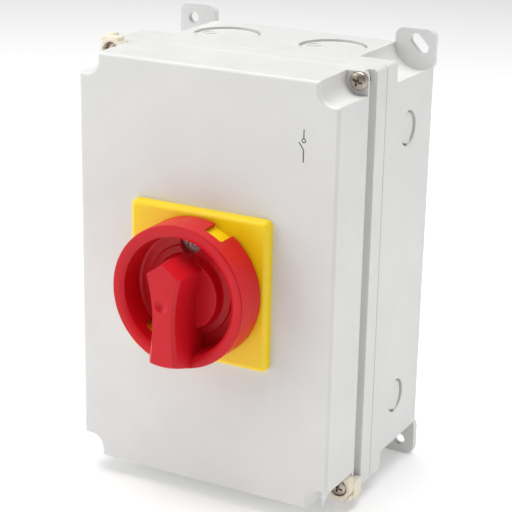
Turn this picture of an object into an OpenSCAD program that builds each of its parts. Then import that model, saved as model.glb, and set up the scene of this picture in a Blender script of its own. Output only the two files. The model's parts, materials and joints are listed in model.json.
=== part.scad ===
// Enclosed rotary isolator switch: wall box, screwed lid, padlockable handle and a three-pole switch.
// X runs to the right, Y into the wall and Z up. The origin is the centre of the back face.
// Distances named *_d are measured forwards from the wall.

/* [Enclosure] */
// Width of the base and of the lid's rim
base_w = 122; // [118:0.5:130]
// Height of the base and of the lid
base_h = 181; // [176:0.5:190]
// Width of the lid's front panel, a little inside the rim
panel_w = 120; // [117:0.5:122]
// Distance from the wall to the base's rim
base_d = 48.3; // [48:0.1:50]
// Distance from the wall to the lid's front face
front_d = 88; // [87:0.5:89]
// Wall thickness of both shells
wall = 3; // [2.4:0.1:3.4]
// Radius of the upright edges of both shells
edge_r = 2; // [1:0.5:3]

/* [Wall lugs] */
// Sideways distance from the middle to each lug hole
lug_x = 55; // [54:0.5:56]
// Height of each lug hole above or below the middle
lug_z = 91; // [90.5:0.1:91.5]
// Diameter of the round lug holes and width of the slotted ones
lug_hole = 5.2; // [4:0.1:5.5]
// Thickness of the lug plates
lug_t = 3; // [2.5:0.1:4]
// Radius of the driver scoop in front of each lug
scoop_r = 11.2; // [10:0.1:11.5]

/* [Lid corners] */
// Sideways distance from the middle to each lid screw
screw_x = 55.9; // [55:0.1:56]
// Height of each lid screw above or below the middle
screw_z = 86.6; // [86:0.1:86.7]
// Size of the pocket cut from each corner of the lid
pocket = 9.7; // [9.5:0.1:10.5]
// Distance from the wall to the floor of the pockets
pocket_d = 64; // [62:0.5:66]

/* [Handle] */
// Outer radius of the handle's cup
cup_r = 29.8; // [29:0.1:31]
// Distance from the wall to the cup's rim
rim_d = 109.2; // [108:0.1:111]
// Distance from the wall to the front of the grip
grip_d = 120; // [118:0.5:121]
// Side of the square front plate
plate_w = 64; // [62:1:70]
// Thickness of the front plate
plate_t = 4.5; // [4:0.1:5]

/* [Switch] */
// Width across the flats of the square drive shaft
shaft_w = 6; // [5:0.1:6]
// Width of the contact decks
deck_w = 48; // [48:0.5:52]
// Height of the contact decks
deck_h = 50; // [50:0.5:54]

/* [Hidden] */
$fn = 64;
rim_gap = 0.4;                       // sealing gap between the two shells
lid_d = base_d + rim_gap;            // back edge of the lid
rim_front_d = 58.1;                  // front edge of the lid's proud rim
groove_front_d = 62.8;               // front edge of the side grooves
groove_x = 57;                       // floor of the side grooves
groove_wall = 2.2;                   // wall behind the side grooves
groove_z = 87;                       // half length of the side grooves
panel_back_d = front_d - wall;       // inside of the lid's front wall
scoop_d = 38.5;                      // front wall of the driver scoops
column_r = scoop_r + wall;           // corner columns round the scoops
pocket_x = panel_w / 2 - pocket;     // inner edges of the corner pockets
pocket_z = base_h / 2 - pocket;
pocket_r = 6;
retainer_rise = 3.4;                 // how far a retainer lifts its screw's head
retainer_z = 92.6;                   // outer end of a retainer
insert_r = 2.7;
insert_d = 41.5;                     // back of the threaded inserts
shank_r = 2;
head_r = 3.75;
seal_out = 0.8;                      // outer edge of the seal, in from the shell's outside
seal_in = 2.2;
seal_corner_r = 9.8;
plate_d = front_d + plate_t;         // front of the yellow plate
hub_r = 10;
bore_r = hub_r + 0.06;               // running fit of the hub
boss_r = 13;
boss_d = 80;
nut_d = panel_back_d - 3.5;
collar_in = 26.6;
collar_out = 27.8;
collar_d = 104.5;
inner_wall_r = 24.8;
inner_wall_t = 1.4;
skirt_in = 28.2;
skirt_d = 93.3;
floor_d = 95.5;                      // back of the cup's floor
floor_t = 2;
hub_d = 76.5;
clip_d = 78.2;
ring_seal_d = 86;
window_z = 20.4;
window_r = 5;
shackle_w = 8.8;                     // width of the padlock openings
shackle_d = 103;
handle_opening = 26;                 // clockwise from the top, with the switch on
second_opening = 193;                // from the first one on to the second
collar_opening = handle_opening - 90;
rail_d = 8;
rail_front_d = 15.5;
rail_w = 35;
rail_l = 96;
foot_d = 20;
poles = 3;                           // one contact deck each
deck_t = 12;
drum_r = 9;
chamber_r = 18;
stack_d = foot_d + poles * deck_t;
cover_d = stack_d + 12;
cam_r = 11;
tie_x = 19.5;
shaft_front_d = 92;

// Extrudes an outline drawn in the XZ plane between two distances from the wall.
module slab(back, front) {
    translate([0, -back, 0]) rotate([90, 0, 0]) linear_extrude(front - back) children();
}

// A block between two corners, given as X, distance from the wall and Z.
module block(low, high) {
    translate([low[0], -high[1], low[2]])
        cube([high[0] - low[0], high[1] - low[1], high[2] - low[2]]);
}

module rounded_rect(w, h, r) {
    square([w - 2 * r, h], center = true);
    square([w, h - 2 * r], center = true);
    for (x = [-1, 1], z = [-1, 1]) translate([x * (w / 2 - r), z * (h / 2 - r)]) circle(r);
}

module ring(outer, inner) {
    difference() {
        circle(outer);
        circle(inner);
    }
}

module at_corners(x, z) {
    for (i = [-1, 1], j = [-1, 1]) translate([i * x, 0, j * z]) children();
}

// Outline of the seal's path, which runs inside the lid screws at the corners.
module seal_outline(inset) {
    difference() {
        square([base_w - 2 * inset, base_h - 2 * inset], center = true);
        for (x = [-1, 1], z = [-1, 1]) translate([x * lug_x, z * lug_z]) circle(seal_corner_r + inset);
    }
}

module seal_ring(back, front, gap = 0) {
    slab(back, front) difference() {
        seal_outline(seal_out + gap);
        seal_outline(seal_in - gap);
    }
}

// A knock-out: a recessed disc inside a deeper ring that two webs interrupt. Cuts from z = 0 upwards.
module knockout_cut(r) {
    cylinder(r = r, h = 5);
    difference() {
        translate([0, 0, -0.7]) cylinder(r = r, h = 2);
        translate([0, 0, -1]) cylinder(r = r - 1, h = 4);
        for (a = [20, 200]) rotate(a) translate([0, -2, -1]) cube([r + 1, 4, 4]);
    }
}

module knockout_cuts() {
    recess = 1.5;
    knock_d = 24.8;
    for (side = [-1, 1], z = [-60, 60])
        translate([side * (base_w / 2 - recess), -knock_d, z]) rotate([0, side * 90, 0]) knockout_cut(8);
    for (side = [-1, 1], x = [-25.3, 25.3])
        translate([x, -knock_d, side * (base_h / 2 - recess)]) rotate([side < 0 ? 180 : 0, 0, 0])
            difference() {
                knockout_cut(14.5);
                translate([-9, 0, -0.2]) cylinder(r = 3.2, h = 1);
            }
}

module lug_holes() {
    slot = 4.8;
    for (i = [-1, 1]) {
        translate([-i * lug_x, 0, i * lug_z]) slab(-1, lug_t + 1) circle(d = lug_hole);
        translate([i * lug_x, 0, i * lug_z]) slab(-1, lug_t + 1) rotate(-45) {
            square([slot, lug_hole], center = true);
            for (e = [-1, 1]) translate([e * slot / 2, 0]) circle(d = lug_hole);
        }
    }
}

module base_housing() {
    inner_w = base_w - 2 * wall;
    inner_h = base_h - 2 * wall;
    color("gainsboro") difference() {
        union() {
            slab(0, base_d) rounded_rect(base_w, base_h, edge_r);
            at_corners(53, 88.7) slab(0, lug_t) rounded_rect(18, 17.6, 4);
        }
        difference() {
            slab(wall, base_d + 1) rounded_rect(inner_w, inner_h, 1);
            at_corners(lug_x, lug_z) slab(0, base_d + 2) circle(column_r);
            for (x = [-40, 40]) translate([x, 0, 0]) slab(0, rail_d) circle(4.5);
        }
        at_corners(lug_x, lug_z) slab(lug_t, scoop_d) circle(scoop_r);
        at_corners(screw_x, screw_z) slab(insert_d, base_d + 1) circle(insert_r);
        for (x = [-40, 40]) translate([x, 0, 0]) slab(wall, rail_d + 1) circle(2);
        seal_ring(base_d - 1.2, base_d + 1);
        lug_holes();
        knockout_cuts();
    }
}

module base_gasket() {
    color("dimgray") seal_ring(base_d - 1.2, lid_d - 0.05, 0.03);
}

module lid_screw_inserts() {
    color("goldenrod") at_corners(screw_x, screw_z)
        slab(insert_d, base_d - 0.2) ring(insert_r, shank_r + 0.05);
}

module din_rail() {
    color("silver") difference() {
        union() {
            block([-rail_l / 2, rail_d, -13.5], [rail_l / 2, rail_d + 1, 13.5]);
            for (s = [0, 1]) mirror([0, 0, s]) {
                block([-rail_l / 2, rail_d, 12.5], [rail_l / 2, rail_front_d, 13.5]);
                block([-rail_l / 2, rail_front_d - 1, 12.5], [rail_l / 2, rail_front_d, rail_w / 2]);
            }
        }
        for (x = [-40, 40]) translate([x, 0, 0]) slab(rail_d - 1, rail_front_d) circle(2.2);
    }
}

// A pan-head screw along Y: its head's back face is at head_back from the wall.
module pan_screw(head_back, length, r, head) {
    difference() {
        union() {
            slab(head_back - length, head_back) circle(r);
            slab(head_back, head_back + 2.4) circle(head);
        }
        for (a = [0, 90]) rotate([0, a, 0])
            slab(head_back + 1.2, head_back + 3) square([head * 1.2, 0.9], center = true);
    }
}

module din_rail_screws() {
    color("silver") for (x = [-40, 40]) translate([x, 0, 0]) pan_screw(rail_d + 1, 5.5, 1.95, 3.6);
}

// The two holes for the screws that tie the switch's stack together.
module tie_holes(back, front) {
    for (i = [-1, 1]) translate([-i * tie_x, 0, i * tie_x]) slab(back, front) circle(1.6);
}

module switch_foot() {
    color("darkslategray") difference() {
        union() {
            slab(rail_front_d, foot_d) rounded_rect(deck_w, deck_h, 3);
            block([-14, 12.4, 17.7], [14, rail_front_d, 20.5]);
            block([-14, 12.4, 15.4], [14, rail_front_d - 1.2, 20.5]);
        }
        slab(rail_front_d - 1, foot_d + 1) circle(drum_r - 3);
        tie_holes(rail_front_d - 1, foot_d + 1);
    }
}

module rail_latch() {
    color("orangered") {
        block([-9, 12.4, -24], [9, rail_front_d - 0.1, -17.8]);
        block([-9, 12.4, -24], [9, rail_front_d - 1.2, -15.6]);
        block([-5, 12.4, -30], [5, rail_front_d - 0.4, -24]);
    }
}

// One pole's housing. The chamber is open to the front and closed by the next deck.
module contact_deck(back) {
    difference() {
        slab(back, back + deck_t) rounded_rect(deck_w, deck_h, 3);
        slab(back + 2, back + deck_t + 1) circle(chamber_r);
        slab(back - 1, back + 3) circle(drum_r + 0.06);
        for (a = [0, 180]) rotate([0, a, 0]) {
            block([-4.2, back + 3.9, 12], [4.2, back + deck_t + 1, 24.2]);
            block([-4.2, back + 3.9, 18.8], [18, back + deck_t + 1, 24.2]);
            block([16.6, back + 1.8, 16.6], [deck_w, back + deck_t + 1, deck_h]);
        }
        tie_holes(back - 1, back + deck_t + 1);
    }
}

module contact_deck_1() color("slategray") contact_deck(foot_d);
module contact_deck_2() color("slategray") contact_deck(foot_d + deck_t);
module contact_deck_3() color("slategray") contact_deck(foot_d + 2 * deck_t);

// One fixed contact: a blade into the chamber and a bent tab for the terminal screw.
module fixed_contact(back) {
    difference() {
        union() {
            block([-4, back + 4, 12.5], [4, back + 5.5, 24]);
            block([-4, back + 4, 19], [20, back + 5.5, 24]);
            block([18.5, back + 2, 17], [20, back + 10.5, 24.5]);
        }
        translate([15, -back - 7, 20.8]) rotate([0, 90, 0]) cylinder(r = 1.7, h = 7);
    }
}

module line_contacts() {
    color("peru") for (p = [0:poles - 1]) fixed_contact(foot_d + p * deck_t);
}

module load_contacts() {
    color("peru") for (p = [0:poles - 1]) rotate([0, 180, 0]) fixed_contact(foot_d + p * deck_t);
}

module at_terminals() {
    for (p = [0:poles - 1], a = [0, 180])
        rotate([0, a, 0]) translate([20, -foot_d - p * deck_t - 7, 20.8]) rotate([0, 90, 0]) children();
}

module terminal_clamps() {
    color("silver") at_terminals() translate([0, 0, 0.1]) difference() {
        translate([-3.5, -3.5, 0]) cube([7, 7, 1.2]);
        translate([0, 0, -1]) cylinder(r = 1.7, h = 4);
    }
}

module terminal_screws() {
    color("silver") at_terminals() difference() {
        union() {
            translate([0, 0, -4.5]) cylinder(r = 1.6, h = 6);
            translate([0, 0, 1.4]) cylinder(r = 3, h = 2.2);
        }
        for (a = [0, 90]) rotate(a) translate([-2, -0.4, 2.6]) cube([4, 0.8, 2]);
    }
}

module switch_cover() {
    color("darkslategray") difference() {
        slab(stack_d, cover_d) rounded_rect(deck_w + 2, deck_h, 4);
        slab(stack_d - 1, cover_d - 3.5) circle(15);
        slab(stack_d - 1, cover_d + 1) circle(5.16);
        tie_holes(stack_d - 1, cover_d + 1);
    }
}

module detent_springs() {
    color("silver") for (a = [0, 180]) rotate([0, a, 0]) {
        block([11.8, stack_d + 2.6, -8], [12.4, stack_d + 5.4, 8]);
        translate([12.1, 0, 0]) slab(stack_d + 2.6, stack_d + 5.4) circle(0.7);
    }
}

module switch_tie_screws() {
    color("silver") for (i = [-1, 1])
        translate([-i * tie_x, 0, i * tie_x]) pan_screw(cover_d, cover_d - rail_front_d - 0.3, 1.5, 3);
}

module terminal_block(x) {
    difference() {
        block([x - 6, wall, -62], [x + 6, wall + 9, -36]);
        for (z = [-55.5, -42.5]) translate([x, 0, z]) {
            slab(wall + 4.5, wall + 10) circle(1.7);
            translate([-7, -wall - 3, 0]) rotate([0, 90, 0]) cylinder(r = 1.9, h = 14);
        }
    }
}

module block_screws(x) {
    for (z = [-55.5, -42.5]) translate([x, 0, z]) pan_screw(wall + 9, 3.8, 1.65, 2.8);
}

module earth_terminal() color("goldenrod") terminal_block(-36);
module earth_terminal_screws() color("silver") block_screws(-36);
module neutral_terminal() color("goldenrod") terminal_block(36);
module neutral_terminal_screws() color("silver") block_screws(36);

// One corner pocket seen from the front, with its rounded inner corner at +X +Z.
module pocket_outline(inset) {
    reach = 30;
    translate([pocket_x - inset + pocket_r, pocket_z - inset]) square(reach);
    translate([pocket_x - inset, pocket_z - inset + pocket_r]) square(reach);
    translate([pocket_x - inset + pocket_r, pocket_z - inset + pocket_r]) circle(pocket_r);
}

module at_pockets() {
    for (i = [0, 1], j = [0, 1]) mirror([i, 0, 0]) mirror([0, 0, j]) children();
}

module lid_housing() {
    color("whitesmoke") difference() {
        union() {
            slab(lid_d, rim_front_d) rounded_rect(base_w, base_h, edge_r);
            slab(rim_front_d, front_d) rounded_rect(panel_w, base_h, edge_r);
        }
        difference() {
            union() {
                slab(groove_front_d + 2, panel_back_d)
                    rounded_rect(panel_w - 2 * wall, base_h - 2 * wall, 1);
                slab(lid_d - 1, groove_front_d + 3)
                    rounded_rect(2 * (groove_x - groove_wall), base_h - 2 * wall, 1);
            }
            at_pockets() slab(lid_d - 2, front_d) pocket_outline(wall);
        }
        at_pockets() slab(pocket_d, front_d + 1) pocket_outline(0);
        at_corners(screw_x, screw_z) slab(lid_d - 1, pocket_d + 1) circle(shank_r + 0.2);
        for (s = [0, 1]) mirror([s, 0, 0])
            block([groove_x, rim_front_d, -groove_z], [base_w, groove_front_d, groove_z]);
        at_retainers() retainer_plate(0.1);
        slab(panel_back_d - 1, front_d + 1) circle(boss_r + 0.2);
    }
}

// Two screws stand on nylon retainers and two directly on the floors of their pockets.
module lid_screws() {
    length = pocket_d - insert_d - 0.5;
    color("silver") for (i = [-1, 1]) {
        translate([i * screw_x, 0, i * screw_z]) pan_screw(pocket_d, length, shank_r, head_r);
        translate([i * screw_x, 0, -i * screw_z])
            pan_screw(pocket_d + retainer_rise, length, shank_r, head_r);
    }
}

// Outer plate of a retainer, which closes the end of the side groove, for the corner at +X +Z.
module retainer_plate(grow) {
    block([base_w / 2 - 2.2 - grow, rim_front_d + 0.1 - grow, screw_z - 2.2 - grow],
        [base_w / 2 + 0.6 + grow, pocket_d + 1.4, retainer_z + grow]);
}

// Nylon retainer round a lid screw: a sleeve that holds the head, and two outer walls.
module retainer() {
    top = pocket_d + retainer_rise + 2.2;
    difference() {
        union() {
            slab(pocket_d, top) intersection() {
                pocket_outline(-0.1);
                translate([screw_x, screw_z]) {
                    circle(5.4);
                    translate([-2.4, 4]) square([7.4, retainer_z - screw_z - 4]);
                }
            }
            retainer_plate(0);
        }
        translate([screw_x, 0, screw_z]) {
            slab(rim_front_d, top + 1) circle(shank_r + 0.2);
            slab(pocket_d + retainer_rise, top + 1) circle(head_r + 0.25);
        }
    }
}

// Places a piece at the two corners that have retainers: lower right and upper left.
module at_retainers() {
    mirror([0, 0, 1]) children();
    mirror([1, 0, 0]) children();
}

module screw_retainers() {
    color("antiquewhite") at_retainers() retainer();
}

// A padlock opening through a ring wall, clockwise from the top as seen from the front.
module shackle_cut(angle, back, front, inner) {
    slab(back, front) for (a = [0, second_opening]) rotate(-angle - a)
        translate([-shackle_w / 2, inner]) square([shackle_w, 12]);
}

module front_plate() {
    bevel = 1.3;
    color("gold") difference() {
        union() {
            slab(front_d, plate_d - bevel) rounded_rect(plate_w, plate_w, 2.5);
            slab(front_d, plate_d) rounded_rect(plate_w - 2 * bevel, plate_w - 2 * bevel, 1.8);
            slab(boss_d, plate_d) circle(boss_r);
            slab(front_d + 1, collar_d) ring(collar_out, collar_in);
        }
        slab(boss_d - 1, collar_d) circle(bore_r);
        slab(front_d - 1, front_d + 0.8) ring(18.2, boss_r + 1);
        shackle_cut(collar_opening, plate_d, collar_d + 1, collar_in - 3);
    }
}

module plate_gasket() {
    color("dimgray") slab(front_d, front_d + 0.78) ring(18, boss_r + 1.2);
}

module plate_nut() {
    color("darkslategray") slab(nut_d, panel_back_d) difference() {
        circle(r = 19, $fn = 6);
        circle(boss_r + 0.1);
    }
}

module indicator_ring() {
    color("white") slab(plate_d, floor_d - 0.5) ring(25.4, boss_r - 1);
}

// The grip seen from the front: a pointed top, a waist and a wider foot.
module grip_outline() {
    polygon([[0, 17.3], [8, 11.6], [5.2, -7], [6.4, -23], [6.4, -30],
        [-6.4, -30], [-6.4, -23], [-5.2, -7], [-8, 11.6]]);
}

module grip() {
    foot_z = 26;
    intersection() {
        slab(floor_d, grip_d) grip_outline();
        union() {
            slab(floor_d, grip_d) intersection() {
                translate([-15, -foot_z]) square([30, 50]);
                circle(cup_r);
            }
            slab(rim_d - 3, rim_d + 3) circle(cup_r - 0.2);
        }
    }
}

module handle() {
    floor_front = floor_d + floor_t;
    color("crimson") difference() {
        union() {
            slab(floor_d, floor_front) circle(inner_wall_r + 0.5);
            slab(floor_d, rim_d) ring(inner_wall_r + inner_wall_t, inner_wall_r);
            slab(collar_d + 0.6, rim_d) ring(cup_r, inner_wall_r);
            slab(skirt_d, rim_d) ring(cup_r, skirt_in);
            slab(hub_d, floor_front) circle(hub_r);
            slab(floor_d, floor_front + 5.3) circle(15.2);
            difference() {
                grip();
                slab(floor_d - 1, collar_d + 0.6) ring(skirt_in + 0.01, inner_wall_r + inner_wall_t);
            }
        }
        slab(hub_d - 1, floor_d + 1) circle(r = 7.25, $fn = 6);
        slab(clip_d, clip_d + 1.1) ring(hub_r + 1, 8.9);
        slab(ring_seal_d - 0.8, ring_seal_d + 0.8) ring(hub_r + 1, 8.4);
        translate([0, 0, window_z]) slab(floor_d - 1, floor_front + 5.8) circle(window_r);
        shackle_cut(handle_opening, skirt_d - 1, shackle_d, 23.4);
        translate([0, -grip_d - 4.4, 0]) sphere(r = 5);
    }
}

module hub_seal() {
    color("dimgray") translate([0, -ring_seal_d, 0]) rotate([90, 0, 0])
        rotate_extrude() translate([9.2, 0]) circle(r = 0.72);
}

module hub_clip() {
    color("silver") slab(clip_d + 0.05, clip_d + 1.05) difference() {
        ring(12, 8.95);
        translate([-2, 0]) square([4, 14]);
    }
}

module coupling_sleeve() {
    color("darkslategray") slab(hub_d + 0.3, floor_d + 0.9) difference() {
        circle(r = 7.2, $fn = 6);
        square(shaft_w + 0.3, center = true);
    }
}

module drive_shaft() {
    color("silver") slab(foot_d - 2, shaft_front_d) square(shaft_w, center = true);
}

module rotor_drum() {
    color("ivory") difference() {
        slab(foot_d + 0.2, stack_d + 1) circle(drum_r);
        slab(foot_d - 1, stack_d + 2) square(shaft_w + 0.05, center = true);
        for (p = [0:poles - 1])
            block([-5.02, foot_d + p * deck_t + 5.68, -20], [5.02, foot_d + p * deck_t + 7.32, 20]);
    }
}

module moving_contacts() {
    color("chocolate") for (p = [0:poles - 1]) difference() {
        block([-5, foot_d + p * deck_t + 5.7, -16], [5, foot_d + p * deck_t + 7.3, 16]);
        slab(foot_d + p * deck_t, foot_d + p * deck_t + 9) square(shaft_w + 0.05, center = true);
    }
}

module detent_cam() {
    color("ivory") difference() {
        union() {
            slab(stack_d + 1.5, stack_d + 6) circle(cam_r);
            slab(stack_d + 6, cover_d + 1.5) circle(5.1);
        }
        slab(stack_d, cover_d + 2) square(shaft_w + 0.05, center = true);
        for (a = [0:90:270]) rotate([0, a, 0])
            translate([cam_r + 0.4, 0, 0]) slab(stack_d, stack_d + 7) circle(1.9);
    }
}

base_housing();
base_gasket();
lid_screw_inserts();
din_rail();
din_rail_screws();
switch_foot();
rail_latch();
contact_deck_1();
contact_deck_2();
contact_deck_3();
line_contacts();
load_contacts();
terminal_clamps();
terminal_screws();
switch_cover();
detent_springs();
switch_tie_screws();
earth_terminal();
earth_terminal_screws();
neutral_terminal();
neutral_terminal_screws();
lid_housing();
lid_screws();
screw_retainers();
front_plate();
plate_gasket();
plate_nut();
indicator_ring();
handle();
hub_seal();
hub_clip();
coupling_sleeve();
drive_shaft();
rotor_drum();
moving_contacts();
detent_cam();
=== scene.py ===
"""Visible model of an enclosed rotary isolator switch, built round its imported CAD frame."""

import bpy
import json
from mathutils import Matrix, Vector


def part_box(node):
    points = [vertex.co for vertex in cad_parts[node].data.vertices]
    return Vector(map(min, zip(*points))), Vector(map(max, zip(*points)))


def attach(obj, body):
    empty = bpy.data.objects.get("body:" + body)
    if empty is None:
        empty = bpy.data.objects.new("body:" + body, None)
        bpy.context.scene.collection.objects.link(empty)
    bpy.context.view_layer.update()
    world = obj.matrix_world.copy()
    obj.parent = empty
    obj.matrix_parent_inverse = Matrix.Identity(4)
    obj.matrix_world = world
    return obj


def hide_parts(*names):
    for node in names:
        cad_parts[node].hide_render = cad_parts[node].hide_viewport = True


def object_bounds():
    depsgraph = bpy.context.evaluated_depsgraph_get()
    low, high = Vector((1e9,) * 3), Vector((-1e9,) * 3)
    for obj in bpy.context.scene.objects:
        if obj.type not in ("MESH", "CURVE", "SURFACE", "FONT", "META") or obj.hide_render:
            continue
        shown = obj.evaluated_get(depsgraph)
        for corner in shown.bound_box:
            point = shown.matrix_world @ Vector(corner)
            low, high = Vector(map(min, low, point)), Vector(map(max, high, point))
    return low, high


bl_info = {
    "name": "Rotary Isolator Switch",
    "version": (1, 0, 0),
    "blender": (4, 5, 0),
    "location": "View3D > Sidebar > Isolator",
    "description": "Builds the enclosure, the padlockable handle and the finishes of a rotary isolator",
    "category": "Add Mesh",
}

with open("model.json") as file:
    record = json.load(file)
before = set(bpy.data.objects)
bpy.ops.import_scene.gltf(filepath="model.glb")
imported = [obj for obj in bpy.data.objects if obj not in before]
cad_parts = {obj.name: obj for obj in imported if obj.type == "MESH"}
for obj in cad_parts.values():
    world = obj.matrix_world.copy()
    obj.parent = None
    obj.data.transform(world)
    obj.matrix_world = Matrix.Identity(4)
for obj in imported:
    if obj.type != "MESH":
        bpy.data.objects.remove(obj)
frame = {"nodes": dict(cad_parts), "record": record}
CAD_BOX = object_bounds()

import json
import math
from contextlib import contextmanager

import bmesh
import bpy
from bpy.props import FloatProperty, FloatVectorProperty, IntProperty, PointerProperty
from mathutils import Matrix, Vector

# Lengths are in metres. Places are given as X, distance forwards from the wall, and Z.
MM = 0.001
NEAR = 0.02 * MM

LID_LOW, LID_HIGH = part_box("lid_housing")
BASE_LOW, BASE_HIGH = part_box("base_housing")
PLATE_LOW, PLATE_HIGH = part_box("front_plate")
RING_LOW, RING_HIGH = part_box("indicator_ring")
HANDLE_LOW, HANDLE_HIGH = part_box("handle")
SHELL_W, SHELL_H = LID_HIGH.x, LID_HIGH.z
BASE_D, LID_D, FRONT_D = -BASE_LOW.y, -LID_HIGH.y, -LID_LOW.y
PLATE_W, COLLAR_D = PLATE_HIGH.x, -PLATE_LOW.y
RING_BACK, RING_FRONT = -RING_HIGH.y, -RING_LOW.y
CUP_R, HUB_D, GRIP_D = HANDLE_HIGH.x, -HANDLE_HIGH.y, -HANDLE_LOW.y

# Half the width of the lid's front
PANEL_W = 60 * MM
LUG_T = 3 * MM
RAIL_SCREW_X = 40 * MM
# The handle's hub, the bore it turns in, and the inside of the handle's skirt
HUB_R = 10 * MM
HUB_BORE_R = 10.06 * MM
SKIRT_IN_R = 28.2 * MM
# How far a printed mark stands on each side of its surface
MARK_T = 0.04 * MM


# Sizes and colours that a user would change

class IsolatorEnclosure(bpy.types.PropertyGroup):
    wall: FloatProperty(
        name="Wall", description="Thickness of both shells", default=3 * MM, unit="LENGTH")
    edge_radius: FloatProperty(
        name="Upright Edges", description="Radius of the shells' upright edges",
        default=2 * MM, unit="LENGTH")
    front_radius: FloatProperty(
        name="Front Edges", description="Radius round the lid's front face",
        default=1.5 * MM, unit="LENGTH")
    draft: FloatProperty(
        name="Draft", description="How far each side of the lid leans in at the front",
        default=0.6 * MM, unit="LENGTH")
    pocket: FloatProperty(
        name="Corner Pocket", description="Size of the pocket for each lid screw",
        default=9.7 * MM, unit="LENGTH")
    pocket_radius: FloatProperty(
        name="Pocket Radius", description="Radius of each pocket's inner corner",
        default=6 * MM, unit="LENGTH")
    pocket_floor: FloatProperty(
        name="Pocket Floor", description="Distance from the wall to the pockets' floors",
        default=64 * MM, unit="LENGTH")
    screw_x: FloatProperty(
        name="Screw X", description="Sideways distance to each lid screw",
        default=55.9 * MM, unit="LENGTH")
    screw_z: FloatProperty(
        name="Screw Z", description="Height of each lid screw from the middle",
        default=86.6 * MM, unit="LENGTH")
    lug_x: FloatProperty(
        name="Lug X", description="Sideways distance to each lug hole",
        default=55 * MM, unit="LENGTH")
    lug_z: FloatProperty(
        name="Lug Z", description="Height of each lug hole from the middle",
        default=91 * MM, unit="LENGTH")
    scoop_radius: FloatProperty(
        name="Driver Scoop", description="Radius of the scoop in front of each lug",
        default=11.2 * MM, unit="LENGTH")


class IsolatorHandle(bpy.types.PropertyGroup):
    rim: FloatProperty(
        name="Rim", description="Distance from the wall to the cup's rim",
        default=109.2 * MM, unit="LENGTH")
    inner_radius: FloatProperty(
        name="Cup Radius", description="Inner radius of the cup",
        default=24.8 * MM, unit="LENGTH")
    floor: FloatProperty(
        name="Cup Floor", description="Distance from the wall to the cup's floor",
        default=97.5 * MM, unit="LENGTH")
    shackle: FloatProperty(
        name="Padlock Opening", description="Width of the openings for a padlock",
        default=8.8 * MM, unit="LENGTH")
    opening_angle: FloatProperty(
        name="Opening Angle", description="Padlock opening, clockwise from the top",
        default=math.radians(26), subtype="ANGLE", unit="ROTATION")
    second_opening: FloatProperty(
        name="Second Opening", description="Turn from the first padlock opening to the second",
        default=math.radians(193), subtype="ANGLE", unit="ROTATION")
    window: FloatProperty(
        name="Window", description="Radius of the window over the marked ring",
        default=5 * MM, unit="LENGTH")
    window_height: FloatProperty(
        name="Window Height", description="Height of the window above the handle's axis",
        default=20.4 * MM, unit="LENGTH")
    sides: IntProperty(
        name="Sides", description="Number of sides on the turned parts", default=160)


class IsolatorFinish(bpy.types.PropertyGroup):
    housing: FloatVectorProperty(
        name="Housing", description="Colour of the two grey shells",
        default=(0.72, 0.72, 0.71), subtype="COLOR")
    plate: FloatVectorProperty(
        name="Plate", description="Colour of the front plate",
        default=(0.98, 0.70, 0.003), subtype="COLOR")
    handle: FloatVectorProperty(
        name="Handle", description="Colour of the handle",
        default=(0.62, 0.006, 0.016), subtype="COLOR")
    nylon: FloatVectorProperty(
        name="Nylon", description="Colour of the natural nylon parts",
        default=(0.86, 0.79, 0.64), subtype="COLOR")
    ink: FloatVectorProperty(
        name="Ink", description="Colour of the printed marks",
        default=(0.05, 0.05, 0.055), subtype="COLOR")


class IsolatorStage(bpy.types.PropertyGroup):
    azimuth: FloatProperty(
        name="Azimuth", description="Camera's turn to the right of straight on",
        default=math.radians(28.106), subtype="ANGLE", unit="ROTATION")
    elevation: FloatProperty(
        name="Elevation", description="Camera's height as an angle",
        default=math.radians(18.605), subtype="ANGLE", unit="ROTATION")
    roll: FloatProperty(
        name="Roll", description="Camera's turn about its own line of sight",
        default=math.radians(1.121), subtype="ANGLE", unit="ROTATION")
    distance: FloatProperty(
        name="Distance", description="Distance from the camera to its target",
        default=0.7, unit="LENGTH")
    lens: FloatProperty(
        name="Lens", description="Focal length in millimetres", default=113.02,
        subtype="DISTANCE_CAMERA")
    target: FloatVectorProperty(
        name="Target", description="Point that the camera looks at",
        default=(-1.56 * MM, -39.04 * MM, -2.7 * MM), subtype="TRANSLATION")
    left_light: FloatProperty(
        name="Left Light", description="Power of the softbox at the left", default=12, unit="POWER")
    high_light: FloatProperty(
        name="High Light", description="Power of the softbox at the upper left", default=4.5,
        unit="POWER")
    top_light: FloatProperty(
        name="Top Light", description="Power of the softbox overhead", default=32, unit="POWER")
    right_light: FloatProperty(
        name="Right Light", description="Power of the softbox at the right", default=7, unit="POWER")
    ambient: FloatProperty(
        name="Ambient", description="Strength of the even light from all round", default=0.1)
    floor_glow: FloatProperty(
        name="Floor Glow", description="Light that the floor gives of itself", default=0.2)


# Mesh work that several pieces share

def clear_selection():
    if bpy.context.object and bpy.context.object.mode != "OBJECT":
        bpy.ops.object.mode_set(mode="OBJECT")
    bpy.ops.object.select_all(action="DESELECT")


def pick(piece):
    clear_selection()
    piece.select_set(True)
    bpy.context.view_layer.objects.active = piece
    return piece


@contextmanager
def editing(piece, elements="EDGE"):
    """Edit mode on one piece with nothing selected."""
    pick(piece)
    bpy.ops.object.mode_set(mode="EDIT")
    bpy.ops.mesh.select_mode(type=elements)
    bpy.ops.mesh.select_all(action="DESELECT")
    yield bmesh.from_edit_mesh(piece.data)
    bpy.ops.object.mode_set(mode="OBJECT")


def settle(piece):
    """Puts the object's place into its mesh."""
    pick(piece)
    bpy.ops.object.transform_apply(location=True, rotation=True, scale=True)
    return piece


def named(piece, name):
    piece.name = name
    piece.data.name = name
    return piece


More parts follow.
